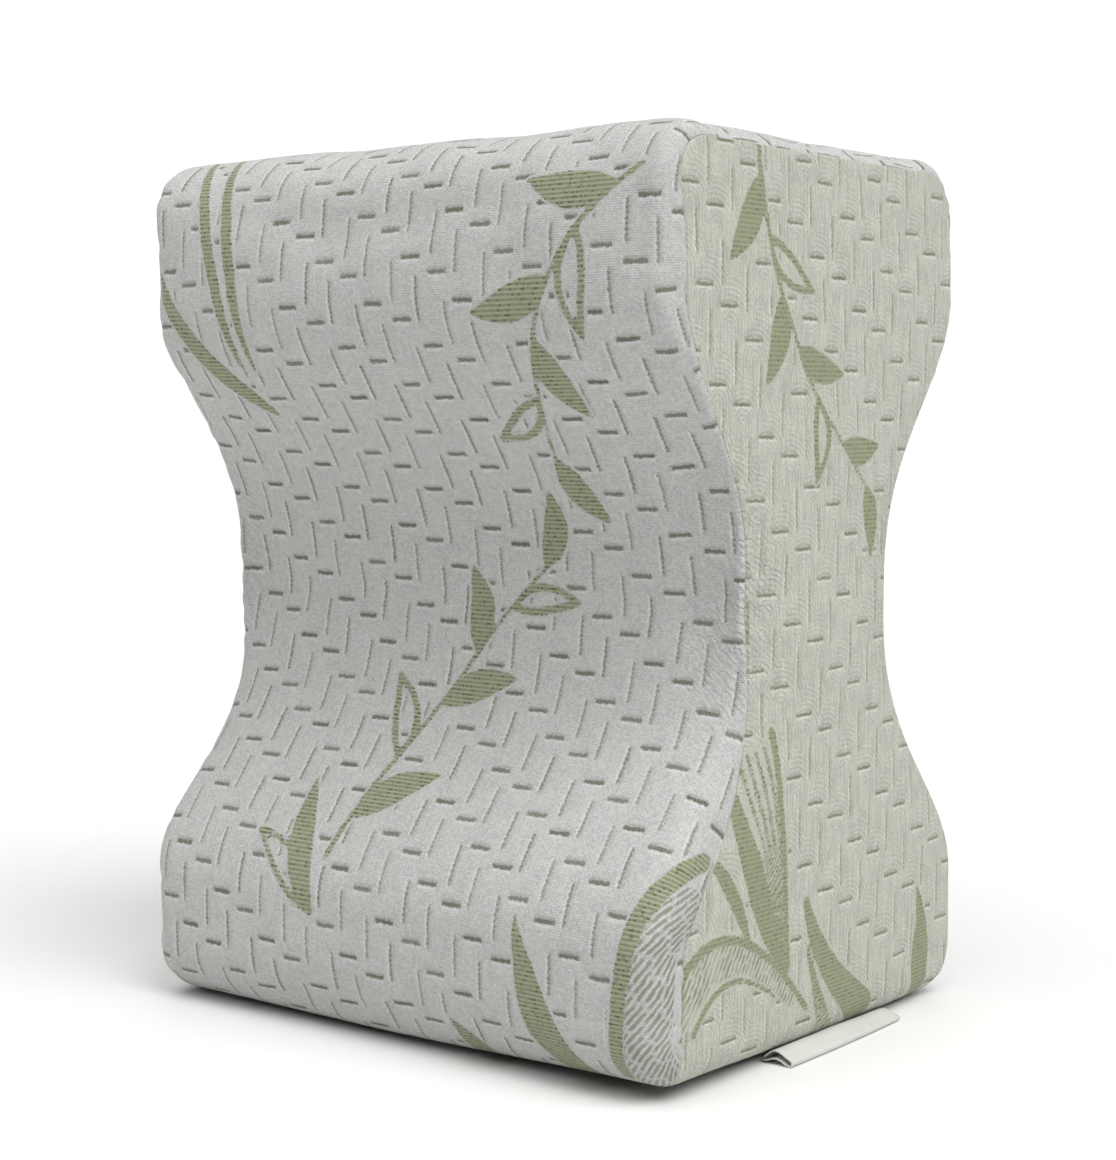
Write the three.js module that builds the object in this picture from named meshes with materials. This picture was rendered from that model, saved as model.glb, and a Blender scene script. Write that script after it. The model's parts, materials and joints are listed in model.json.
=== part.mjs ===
// Knee pillow: an hourglass foam block in a knitted cover, standing on one end.
// Millimetres, +Z up. X runs across the width, and the two leg hollows face -Y and +Y.
// The cover is one long band wrapped round the hourglass, closed by a flat panel on each side.
import * as THREE from "three";

const HEIGHT = 250;
const WIDTH = 189; // across the rims, without the crown of the side panels
const TOP_DEPTH = 148; // across the upper bulge
const BASE_DEPTH = 155; // across the lower bulge, which the pillow's weight spreads
const WAIST_HEIGHT = 124;
const FRONT_WAIST = 38.5; // middle plane to the deepest line of the front hollow
const BACK_WAIST = 35;
const HOLLOW_REACH = 86; // how far a hollow runs above and below the waist
const HOLLOW_EASE = 1.34; // over 1, a broader floor and steeper flanks
const TOP_CORNER = 17; // radius of the bulged ends' outer edges
const BASE_CORNER = 16;

const BAND_SWELL = 1.4; // how far the band's faces stand out halfway across the width
const HOLLOW_LOSS = 0.7; // share of that swell that a hollow takes away at the waist
const SIDE_CROWN = 2.5; // how far a side panel stands out in its middle
const CROWN_UP = 0.5; // the crown's shape up a side panel: under 1, fuller near the ends
const CROWN_OVER = 0.7; // its shape across the panel
const PANEL_THICK = 1.8;
const SEAM_SINK = 1; // depth of the seam below the rim
const SEAM_GAP = 0.3; // between the band and the edge of a panel
const PANEL_LIFT = 0.6; // between the foam's end and the panel that covers it
const FOAM_BELOW = PANEL_THICK + PANEL_LIFT; // the foam's end, below the panel's outer face

// Each side rim is rolled, and the seam lies on the roll or past it. By height: the roll's
// radius, and how far in from the band's face the seam is. On the front it tucks under at the
// foot, runs along the ridge at the waist and sits on the flat of the side beside each bulge.
// On the back it keeps to the edge. Both tables agree at the base and on top.
const FRONT_RIM = [
  { z: 0, roll: 8, seam: 0.9 },
  { z: 5, roll: 9, seam: 11 },
  { z: 64, roll: 9, seam: 13 },
  { z: WAIST_HEIGHT, roll: 3, seam: 0.9 },
  { z: 168, roll: 3.6, seam: 2.6 },
  { z: 214, roll: 5.6, seam: 8 },
  { z: HEIGHT, roll: 5, seam: 4 },
];
const BACK_RIM = [
  { z: 0, roll: 8, seam: 0.9 },
  { z: 5, roll: 5, seam: 1 },
  { z: 64, roll: 4, seam: 1 },
  { z: WAIST_HEIGHT, roll: 3, seam: 0.9 },
  { z: 168, roll: 3.6, seam: 1.1 },
  { z: 214, roll: 4, seam: 1.5 },
  { z: HEIGHT, roll: 5, seam: 4 },
];
const ROLL_SHARES = [1 / 3, 2 / 3, 1]; // of the way round the roll to the seam
const BAND_STATIONS = [-1, -0.7, -0.35, 0, 0.35, 0.7, 1]; // shares of the flat half width

const CORNER_STEPS = 6;
const FLANK_STEPS = 24;
const ACROSS = 8; // steps from the front edge to the back edge

// A plain satin label, folded once and sewn into the foot of the right side seam.
const LABEL_LENGTH = 59;
const LABEL_MIDDLE_Y = 7.5;
const LABEL_ROOT_X = 93.4; // under the roll of the foot, clear of it
const LABEL_REACH = 7;
const LABEL_LAYER = 1;
const LABEL_SLIT = 0.6;
const LABEL_LIFT = 0.3; // clear of the surface that the pillow stands on

const BAND_COLOUR = 0xcdcfca;
const PANEL_COLOUR = 0xc8ccbc;
const LABEL_COLOUR = 0xf0f0ec;

function smoothstep(t) {
  return t * t * (3 - 2 * t);
}

// Roll radius, seam inset and the roll's turn up to the seam, eased between the rim's rows.
function rimAt({ y, z }) {
  const rim = y > 0 ? BACK_RIM : FRONT_RIM;
  const height = THREE.MathUtils.clamp(z, 0, HEIGHT);
  const above = Math.max(1, rim.findIndex((row) => row.z >= height));
  const [low, high] = [rim[above - 1], rim[above]];
  const share = smoothstep((height - low.z) / (high.z - low.z));
  const roll = THREE.MathUtils.lerp(low.roll, high.roll, share);
  const seam = THREE.MathUtils.lerp(low.seam, high.seam, share);
  const turn = seam < roll ? Math.acos(1 - seam / roll) : Math.PI / 2;
  return { roll, seam, turn };
}

// How much a round of this radius takes off a face, so far in from its end.
function cornerCut(fromEnd, radius) {
  const inside = Math.max(radius - fromEnd, 0);
  return radius - Math.sqrt(radius ** 2 - inside ** 2);
}

// Share of the hollow's full depth at one height.
function hollowShare(z) {
  const reach = Math.abs(z - WAIST_HEIGHT) / HOLLOW_REACH;
  return reach < 1 ? (1 + Math.cos(Math.PI * reach ** HOLLOW_EASE)) / 2 : 0;
}

function halfDepth(z, waist) {
  const bulge = (z > WAIST_HEIGHT ? TOP_DEPTH : BASE_DEPTH) / 2;
  const face = THREE.MathUtils.lerp(bulge, waist, hollowShare(z));
  return face - cornerCut(z, BASE_CORNER) - cornerCut(HEIGHT - z, TOP_CORNER);
}

// Heights of the rows, closer together round the corners of the ends.
function rowHeights() {
  const heights = [];
  for (let i = 0; i < CORNER_STEPS; i += 1) {
    heights.push(BASE_CORNER * (1 - Math.cos((Math.PI / 2) * (i / CORNER_STEPS))));
  }
  for (let i = 0; i <= FLANK_STEPS; i += 1) {
    heights.push(THREE.MathUtils.lerp(BASE_CORNER, HEIGHT - TOP_CORNER, i / FLANK_STEPS));
  }
  for (let i = CORNER_STEPS - 1; i >= 0; i -= 1) {
    const drop = TOP_CORNER * (1 - Math.cos((Math.PI / 2) * (i / CORNER_STEPS)));
    heights.push(HEIGHT - drop);
  }
  return heights;
}

const ROW_HEIGHTS = rowHeights();
const TOP_ROW = ROW_HEIGHTS.length - 1;
const RING_SIZE = 2 * (TOP_ROW + ACROSS);

// A ring runs up the front, back over the top, down the back and forward under the base.
// This gives the place in it of each border point of a grid of rows and columns.
function ringIndex(row, column) {
  if (column === 0) return row;
  if (row === TOP_ROW) return TOP_ROW + column;
  if (column === ACROSS) return 2 * TOP_ROW + ACROSS - row;
  return RING_SIZE - column;
}

function isBorder(row, column) {
  return row === 0 || row === TOP_ROW || column === 0 || column === ACROSS;
}

// The hourglass outline, each point with its outward normal and its share of the swell.
function outline() {
  const points = new Array(RING_SIZE);
  for (let row = 0; row <= TOP_ROW; row += 1) {
    for (let column = 0; column <= ACROSS; column += 1) {
      if (isBorder(row, column)) {
        const z = ROW_HEIGHTS[row];
        const front = -halfDepth(z, FRONT_WAIST);
        const back = halfDepth(z, BACK_WAIST);
        const y = THREE.MathUtils.lerp(front, back, column / ACROSS);
        points[ringIndex(row, column)] = { y, z, swell: row === 0 ? 0 : swellShare(row, column) };
      }
    }
  }
  return points.map((point, i) => {
    const before = points[(i + RING_SIZE - 1) % RING_SIZE];
    const after = points[(i + 1) % RING_SIZE];
    const along = new THREE.Vector2(after.y - before.y, after.z - before.z).normalize();
    return { ...point, normal: new THREE.Vector2(-along.y, along.x) };
  });
}

// The faces swell most at the bulges and on top, little in the hollows and not at the base.
function swellShare(row, column) {
  if (row === TOP_ROW) return Math.sin((Math.PI * column) / ACROSS);
  const z = ROW_HEIGHTS[row];
  return (1 - HOLLOW_LOSS * hollowShare(z)) * Math.sin((Math.PI * z) / HEIGHT);
}

const OUTLINE = outline();

// One ring of the pillow's skin: x of a point and how far it is drawn in, by its rim.
function ring(place) {
  return OUTLINE.map((point) => {
    const { x, inset } = place(rimAt(point), point);
    const y = point.y - point.normal.x * inset;
    return new THREE.Vector3(x, y, point.z - point.normal.y * inset);
  });
}

// The crowned end of the foam, or a face of its panel, stretched over a ring. It lies so far
// below the panel's outer face, and rolls in at the foot.
function crownedGrid(border, side, below) {
  const flat = WIDTH / 2 - SEAM_SINK - below;
  const inner = [];
  const base = border[0].z;
  const tall = border[TOP_ROW].z - base;
  for (let row = 1; row < TOP_ROW; row += 1) {
    const front = border[ringIndex(row, 0)];
    const back = border[ringIndex(row, ACROSS)];
    for (let column = 1; column < ACROSS; column += 1) {
      const point = front.clone().lerp(back, column / ACROSS);
      const up = Math.sin((Math.PI * (point.z - base)) / tall) ** CROWN_UP;
      const over = Math.sin((Math.PI * column) / ACROSS) ** CROWN_OVER;
      const tuck = cornerCut(point.z, FRONT_RIM[0].roll);
      point.x = side * (flat - tuck + SIDE_CROWN * up * over);
      inner.push(point);
    }
  }
  return inner;
}

// Collects points and triangles, and turns them into one closed geometry.
class Skin {
  points = [];
  faces = [];

  add(vectors) {
    const first = this.points.length;
    this.points.push(...vectors);
    return first;
  }

  quad(a, b, c, d) {
    this.faces.push(a, b, c, a, c, d);
  }

  // A strip of quads between two rings, from low X to high X.
  belt(low, high) {
    for (let i = 0; i < RING_SIZE; i += 1) {
      const next = (i + 1) % RING_SIZE;
      this.quad(low + i, high + i, high + next, low + next);
    }
  }

  // Fills a ring with its grid. The faces look along +X, or along -X when turned.
  cap(border, inner, turned) {
    const at = (row, column) =>
      isBorder(row, column)
        ? border + ringIndex(row, column)
        : inner + (row - 1) * (ACROSS - 1) + column - 1;
    for (let row = 0; row < TOP_ROW; row += 1) {
      for (let column = 0; column < ACROSS; column += 1) {
        const corners = [
          at(row, column),
          at(row, column + 1),
          at(row + 1, column + 1),
          at(row + 1, column),
        ];
        this.quad(...(turned ? corners.reverse() : corners));
      }
    }
  }

  geometry() {
    const geometry = new THREE.BufferGeometry();
    geometry.setFromPoints(this.points);
    geometry.setIndex(this.faces);
    geometry.computeVertexNormals();
    return geometry;
  }
}

// The rings from the start of one roll, past the seam, to the foam's end under the panel.
function endRings(side) {
  const rolled = ROLL_SHARES.map((share) =>
    ring(({ roll, turn }) => ({
      x: side * (WIDTH / 2 - roll + roll * Math.sin(turn * share)),
      inset: roll * (1 - Math.cos(turn * share)),
    })),
  );
  const sunk = [SEAM_SINK, SEAM_SINK + FOAM_BELOW].map((depth) =>
    ring(({ roll, seam }) => ({
      x: side * (WIDTH / 2 - cornerCut(seam, roll) - depth),
      inset: seam,
    })),
  );
  return [...rolled, ...sunk];
}

function filledBody() {
  const faces = BAND_STATIONS.map((share) =>
    ring(({ roll }, point) => ({
      x: share * (WIDTH / 2 - roll),
      inset: -BAND_SWELL * point.swell * Math.cos((Math.PI / 2) * share),
    })),
  );
  const rings = [...endRings(-1).reverse(), ...faces, ...endRings(1)];
  const skin = new Skin();
  const starts = rings.map((points) => skin.add(points));
  for (let i = 1; i < starts.length; i += 1) {
    skin.belt(starts[i - 1], starts[i]);
  }
  const last = rings.length - 1;
  skin.cap(starts[0], skin.add(crownedGrid(rings[0], -1, FOAM_BELOW)), true);
  skin.cap(starts[last], skin.add(crownedGrid(rings[last], 1, FOAM_BELOW)), false);
  return skin.geometry();
}

// A side panel: a sheet of even thickness over the crowned end of the foam.
function sidePanel(side) {
  const depths = side > 0 ? [PANEL_THICK, 0] : [0, PANEL_THICK];
  const skin = new Skin();
  const [low, high] = depths.map((below) => {
    const border = ring(({ roll, seam }) => ({
      x: side * (WIDTH / 2 - cornerCut(seam + SEAM_GAP, roll) - SEAM_SINK - below),
      inset: seam + SEAM_GAP,
    }));
    return { border: skin.add(border), inner: skin.add(crownedGrid(border, side, below)) };
  });
  skin.belt(low.border, high.border);
  skin.cap(low.border, low.inner, true);
  skin.cap(high.border, high.inner, false);
  return skin.geometry();
}

// The label's section: two layers joined by a round fold at the free end.
function foldedLabel() {
  const thick = 2 * LABEL_LAYER + LABEL_SLIT;
  const outerRadius = thick / 2;
  const straight = LABEL_REACH - outerRadius;
  const section = new THREE.Shape();
  section.moveTo(0, 0);
  section.lineTo(straight, 0);
  section.absarc(straight, outerRadius, outerRadius, -Math.PI / 2, Math.PI / 2, false);
  section.lineTo(0, thick);
  section.lineTo(0, thick - LABEL_LAYER);
  section.lineTo(straight, thick - LABEL_LAYER);
  section.absarc(straight, outerRadius, LABEL_SLIT / 2, Math.PI / 2, -Math.PI / 2, true);
  section.lineTo(0, LABEL_LAYER);
  section.closePath();
  const geometry = new THREE.ExtrudeGeometry(section, {
    depth: LABEL_LENGTH,
    bevelEnabled: false,
    curveSegments: 6,
  });
  geometry.rotateX(Math.PI / 2);
  geometry.translate(0, LABEL_LENGTH / 2, 0);
  return geometry;
}

function fabric(colour, roughness) {
  return new THREE.MeshStandardMaterial({ color: colour, roughness, metalness: 0 });
}

function named(name, geometry, material) {
  const mesh = new THREE.Mesh(geometry, material);
  mesh.name = name;
  return mesh;
}

const pillow = new THREE.Group();
pillow.add(named("filled_body", filledBody(), fabric(BAND_COLOUR, 0.92)));
pillow.add(named("side_panel_right", sidePanel(1), fabric(PANEL_COLOUR, 0.92)));
pillow.add(named("side_panel_left", sidePanel(-1), fabric(PANEL_COLOUR, 0.92)));

const label = named("seam_label", foldedLabel(), fabric(LABEL_COLOUR, 0.55));
label.position.set(LABEL_ROOT_X, LABEL_MIDDLE_Y, LABEL_LIFT);
pillow.add(label);

export default pillow;
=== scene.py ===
import json
import math

import bpy
import numpy as np
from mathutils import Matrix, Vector

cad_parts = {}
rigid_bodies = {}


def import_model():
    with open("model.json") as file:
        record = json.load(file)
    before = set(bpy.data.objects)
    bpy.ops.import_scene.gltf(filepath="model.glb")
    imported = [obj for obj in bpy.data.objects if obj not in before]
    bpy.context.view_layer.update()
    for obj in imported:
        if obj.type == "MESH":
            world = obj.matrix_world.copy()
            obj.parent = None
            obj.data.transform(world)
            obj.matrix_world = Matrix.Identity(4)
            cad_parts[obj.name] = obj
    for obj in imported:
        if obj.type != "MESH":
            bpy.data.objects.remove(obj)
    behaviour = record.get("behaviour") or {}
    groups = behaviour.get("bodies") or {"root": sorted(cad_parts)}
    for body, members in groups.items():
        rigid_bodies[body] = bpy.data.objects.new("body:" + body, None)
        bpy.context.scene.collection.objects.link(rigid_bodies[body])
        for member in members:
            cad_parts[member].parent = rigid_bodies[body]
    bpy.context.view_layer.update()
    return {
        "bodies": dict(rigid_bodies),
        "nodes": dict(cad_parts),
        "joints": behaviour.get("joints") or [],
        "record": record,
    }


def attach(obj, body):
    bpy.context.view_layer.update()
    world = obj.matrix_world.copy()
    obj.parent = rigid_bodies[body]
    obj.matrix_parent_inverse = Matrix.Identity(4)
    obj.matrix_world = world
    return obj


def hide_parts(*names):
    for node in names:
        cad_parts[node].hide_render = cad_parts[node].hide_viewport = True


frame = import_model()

MM = 0.001

# The solids' own driving sizes
HEIGHT = 250.0
WIDTH = 189.0
TOP_DEPTH = 148.0
BASE_DEPTH = 155.0
WAIST_HEIGHT = 124.0
FRONT_WAIST = 38.5
BACK_WAIST = 35.0
HOLLOW_REACH = 86.0
HOLLOW_EASE = 1.34
TOP_CORNER = 17.0
BASE_CORNER = 16.0
SIDE_CROWN = 2.5
SIDE_CROWN_BENDS = {"up": 0.5, "over": 0.7}
PANEL_THICK = 1.8
SEAM_SINK = 0.1
SEAM_GAP = 0.03
SEAM_WALL = 0.8
FOAM_BELOW = 2.4

# By height: the radius of the rolled side rim, and how far in from the band's face its seam is
FRONT_RIM = (
    {"z": 0, "roll": 8, "seam": 0.9},
    {"z": 5, "roll": 9, "seam": 11},
    {"z": 64, "roll": 9, "seam": 13},
    {"z": WAIST_HEIGHT, "roll": 3, "seam": 0.9},
    {"z": 168, "roll": 3.6, "seam": 2.6},
    {"z": 214, "roll": 5.6, "seam": 8},
    {"z": HEIGHT, "roll": 5, "seam": 4},
)
BACK_RIM = (
    {"z": 0, "roll": 8, "seam": 0.9},
    {"z": 5, "roll": 5, "seam": 1},
    {"z": 64, "roll": 4, "seam": 1},
    {"z": WAIST_HEIGHT, "roll": 3, "seam": 0.9},
    {"z": 168, "roll": 3.6, "seam": 1.1},
    {"z": 214, "roll": 4, "seam": 1.5},
    {"z": HEIGHT, "roll": 5, "seam": 4},
)

# How far the edge of the base and its near corner stand off the floor, where each starts to
# rise and over what share of the way out, and up to what height the cover above follows
EDGE_LIFT = {"height": 0.8, "from": 0.6, "over": 0.3}
CORNER_LIFT = {"height": 2.2, "from": 0.35, "over": 0.55}
LIFT_FADE = 30.0

# How finely the cover is meshed
BAND_MESH = {"corner": 14, "flank": 168, "across": 88, "face": 134, "roll": 12}
PANEL_MESH = {"corner": 16, "flank": 210, "across": 120}

# The foam's ends under the panels: the rings of their mesh, and their crown as a share of the
# panels' own
CAP_RINGS = 5
CAP_CROWN = 0.8

# The cloth simulation of the cover: its own coarse mesh, the foam's push outwards, how much the
# cloth shrinks (below 0 is slack), its frames, the furthest it may move, the passes that smooth
# its movement onto the fine mesh, and how near its seam and its base it is held
SKIN_MESH = {"corner": 4, "flank": 44, "across": 24, "face": 32, "roll": 5}
SKIN = {"pressure": 4.0, "shrink": -0.02, "frames": 20, "reach": 1.8, "smooth": 10}
SKIN_HELD = {"seam": 0.5, "base": 1.0}

# The relief of the cover: the depth of its stitch marks, its dents with their longest and
# shortest pitch, and its gathers. A tick is shallower than a bar. The relief fades out over the
# foot of the band and towards the edge of a panel
BAND_RELIEF = {"marks": 0.32, "uneven": 0.22, "seed": 11, "pitches": (70, 24), "gathers": 0.28}
PANEL_RELIEF = {"marks": 0.3, "uneven": 0.3, "seed": 23, "pitches": (60, 20), "gathers": 0.3}
MARK_DEPTHS = {"bar": 1.0, "tick": 0.45}
MARK_SOFTNESS = 1.3
FOOT_FADE = 10.0
EDGE_FADE = 4.0

# The gathers along a seam, which drift in pitch and depth, and the ridge and dip that the band
# has beside its seam from the waist up
GATHERS = {"pitch": 7.5, "reach": 7.0, "seed": 5, "drift": (90, 30), "sway": 2.5, "even": 0.6}
SEAM_RELIEF = {
    "from": 80.0,
    "over": 40.0,
    "top": 246.0,
    "fade": 25.0,
    "ridge": {"height": 0.7, "middle": 1.2, "width": 1.6},
    "dip": {"height": 1.3, "middle": 13.0, "width": 8.0},
}

# Where a seam pulls the cloth into ripples: the distance from the seam and the height above the
# waist at which it pulls most, and how far both reach
BAND_PULL = {"away": 4.0, "reach": 16.0, "above": 6.0, "spread": 34.0}
PANEL_PULL = {"away": 3.0, "reach": 12.0, "above": 10.0, "spread": 40.0}

# The knit's repeat on the band and on the side panels: its two steps, where its two bars and
# ticks lie and how large they are, how strongly its ribs show in relief and as painted shade,
# and how strongly its fine courses show
BAND_REPEAT = {
    "steps": ((13.7, 11.9), (18.5, -11.8)),
    "origin": (4.0, 6.0),
    "bars": ((0.0, 0.0), (8.7, -7.5)),
    "bar_size": (6.6, 1.1),
    "ticks": ((-7.4, -6.8), (2.4, -13.2)),
    "tick_size": (0.8, 11.3),
    "ribs": 0.14,
    "courses": 0.66,
}
PANEL_REPEAT = {
    "steps": ((15.5, 11.5), (21.7, -13.6)),
    "origin": (2.0, 3.0),
    "bars": ((0.0, 0.0), (10.9, -8.5)),
    "bar_size": (7.4, 0.7),
    "ticks": ((-8.0, -6.8), (2.9, -14.3)),
    "tick_size": (0.7, 11.5),
    "ribs": 0.6,
    "courses": 0.45,
}

# The leaves on the band, where u runs across it and v up it from the front's foot, and on a
# side panel, where u runs from front to back. A leaf is base, tip, width and bend. A stroke is
# start, the point it bends towards, end, and the width at both. A sprig is the same three
# points, and the number, length and width of its leaves
BAND_LEAVES = {
    "plain": (
        ((-60, 214), (-86, 300), 4.0, -4),
        ((-56, 216), (-74, 300), 4.0, -4),
        ((-55, 201), (-93, 249), 7.5, 3),
        ((-25, 44), (-38, 84), 9.0, 2),
        ((74, -6), (49, 55), 11.0, 3),
        ((37, -14), (24, 22), 9.0, -2),
    ),
    "hollow": (((-24, 44), (-52, 66), 10, -2),),
    "strokes": (((99, 80), (82, 64), (82, 12), 5.2, 4.2),),
    "fans": (),
    "sprigs": (
        ((-22, 60), (-8, 128), (36, 158), 6, 31, 10.5),
        ((86, 268), (46, 246), (40, 178), 6, 31, 10.5),
    ),
    "hatched": ((100, 66), (90, 52), (91, 6), 12, 13),
}
PANEL_LEAVES = {
    "plain": (
        ((-18, 24), (-47, 88), 8.5, 3),
        ((-36, 36), (-60, 68), 4.6, -2),
        ((57, -4), (53, 38), 8, -3.5),
        ((55, 0), (54, 24), 3.4, 0.5),
    ),
    "hollow": (),
    "strokes": (
        ((-27, 92), (-20, 60), (-18, 26), 2.4, 2.0),
        ((-68, 32), (-44, 54), (-8, 12), 3.0, 2.0),
        ((-62, 16), (-50, 38), (-24, 19), 2.2, 1.2),
        ((-9, 43), (-5, 26), (22, 6), 3.0, 12.0),
    ),
    "fans": (
        {
            "strokes": 4,
            "first": ((-41, 86), (-31, 62), (-20, 30)),
            "steps": ((3.6, 0.6), (3.0, 0.6), (0, 0)),
            "widths": (1.3, 1.1),
        },
        {
            "strokes": 3,
            "first": ((-8, 30), (-4, 14), (1, 1)),
            "steps": ((1.6, -3.5), (2.4, -1.5), (4.2, 0)),
            "widths": (1.4, 1.6),
        },
    ),
    "sprigs": (((-34, 248), (-30, 190), (26, 152), 7, 28, 9.5),),
    "hatched": ((-68, 24), (-46, 47), (-16, 16), 12, 4),
}
BACK_SHIFT = (-38.0, 402.0)  # the same leaves once more on the band's back
LEFT_SHIFT = (31.0, 8.0)  # the left panel's leaves and marks against the right one's
BACK_ARC = 400.0  # keeps the gathers of a panel's back edge unlike those of its front

# A sprig: its stem's width at both ends, the place of its first leaf, how far its leaves turn
# out, how much shorter and narrower they get, and their bend
SPRIG = {
    "stem": (1.8, 1.0),
    "first": 0.6,
    "turn": 42,
    "shorter": 0.25,
    "narrower": 0.2,
    "bend": 2.0,
}

# Half the line of a hollow leaf, the margin of a leaf that is clear of marks, the furthest from
# a leaf's edge that the mesh stores, and what makes a leaf widest near its base and full
HOLLOW_LINE = {"leaf": 0.9, "sprig": 1.1}
LEAF_MARGIN = {"from": -1.5, "over": 2.0}
LEAF_RANGE = 9.0
FAR_OUTSIDE = -1e3
LEAF_BELLY = 0.8
LEAF_FULLNESS = 0.85

# The label: its section as x and z, out from the seam below, round the fold and back above. It
# gapes at its near end, is pressed at its far end, bows out in the middle and waves
LABEL = {"length": 59.0, "middle_y": 7.5, "thick": 0.4, "reach": 9.0, "rows": 60}
LABEL_UNDER = (
    *((90.4, 0.7), (91.8, 1.0), (93.4, 1.6), (94.8, 1.8)),
    *((96.4, 1.4), (97.8, 0.7), (98.7, 0.36)),
)
LABEL_FOLD = {"middle": (99.0, 1.15), "radius": 0.85, "from": -60, "to": 75, "points": 8}
LABEL_OVER = (
    *((98.3, 2.35), (97.0, 3.05), (95.6, 3.6), (94.3, 3.75)),
    *((93.1, 3.35), (91.9, 2.6), (90.8, 1.7)),
)
LABEL_DRAPE = {"gape": 0.06, "press": 0.25, "bow": 0.5, "short": 0.3, "wave": 0.1, "waves": 9}
LABEL_FLOOR = 0.02  # its lowest point


def srgb(red, green, blue):
    """A colour given as 0 to 255, as Blender's linear RGBA."""
    shares = np.array([red, green, blue]) / 255
    linear = np.where(shares > 0.04045, ((shares + 0.055) / 1.055) ** 2.4, shares / 12.92)
    return (*linear.tolist(), 1.0)


# Camera, stage and lights

FLOOR_COLOUR = srgb(236, 236, 235)
CAMERA_PLACE = (408.1, -517.7, 178.0)
CAMERA_YAW = 38.10  # degrees from +Y towards -X
CAMERA_DOWN = 4.49
CAMERA_LENS = 68.1
CAMERA_SENSOR = 36.0
FLOOR_HALF = 40.0  # metres
FLOOR_ROUGHNESS = 0.9
SKY_CARD = (0.86, 0.95)  # cosines from the card's middle between which the sky brightens
SKY_WHITE = 1.05
SKY_FILL = 0.05

# Each soft light: the way towards it, in degrees from +X towards +Y and up, its strength, and
# how wide it looks from the pillow in degrees
LIGHTS = {
    "key": {"turn": -7, "up": 53, "strength": 2.38, "spread": 44},
    "front": {"turn": -97, "up": 60, "strength": 1.23, "spread": 50},
    "back": {"turn": 128, "up": 50, "strength": 0.36, "spread": 50},
    "top": {"turn": 0, "up": 90, "strength": 0.62, "spread": 70},
}


def add_object(name, data):
    added = bpy.data.objects.new(name, data)
    bpy.context.scene.collection.objects.link(added)
    return added


def make_camera():
    data = bpy.data.cameras.new("photo_view")
    data.lens = CAMERA_LENS
    data.sensor_width = CAMERA_SENSOR
    camera = add_object("photo_view", data)
    camera.location = [value * MM for value in CAMERA_PLACE]
    camera.rotation_euler = (math.radians(90 - CAMERA_DOWN), 0, math.radians(CAMERA_YAW))
    bpy.context.scene.camera = camera


def make_lights():
    """Even light from each direction in LIGHTS, with soft shadows."""
    for name, place in LIGHTS.items():
        turn, up = math.radians(place["turn"]), math.radians(place["up"])
        level = math.cos(up)
        towards = Vector((math.cos(turn) * level, math.sin(turn) * level, math.sin(up)))
        data = bpy.data.lights.new(name, "SUN")
        data.energy = place["strength"]
        data.angle = math.radians(place["spread"])
        light = add_object(name, data)
        light.rotation_euler = towards.to_track_quat("Z", "Y").to_euler()


def make_stage():
    """A wide pale floor and a dim sky with a white card in it. The camera sees the sky white."""
    half = FLOOR_HALF
    mesh = bpy.data.meshes.new("floor")
    corners = [(-half, -half, 0), (half, -half, 0), (half, half, 0), (-half, half, 0)]
    mesh.from_pydata(corners, [], [(0, 1, 2, 3)])
    paint = bpy.data.materials.new("floor_paint")
    Nodes(paint).shade(base=FLOOR_COLOUR, roughness=FLOOR_ROUGHNESS)
    mesh.materials.append(paint)
    add_object("floor", mesh)
    world = bpy.data.worlds.new("studio")
    sky = Nodes(world, "Background")
    direction = sky.add("ShaderNodeTexCoord", {}).outputs["Generated"]
    yaw = math.radians(CAMERA_YAW)
    nearness = sky.vector("DOT_PRODUCT", direction, (-math.sin(yaw), math.cos(yaw), 0.0))
    card = sky.ease(nearness, *SKY_CARD, SKY_FILL, SKY_WHITE)
    seen = sky.add("ShaderNodeLightPath", {}).outputs["Is Camera Ray"]
    strength = sky.math("MAXIMUM", card, sky.math("MULTIPLY", seen, SKY_WHITE))
    sky.feed(sky.shader.inputs["Strength"], strength)
    sky.feed(sky.shader.inputs["Color"], (1.0, 1.0, 1.0, 1.0))
    bpy.context.scene.world = world
    bpy.context.scene.view_settings.view_transform = "Standard"


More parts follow.
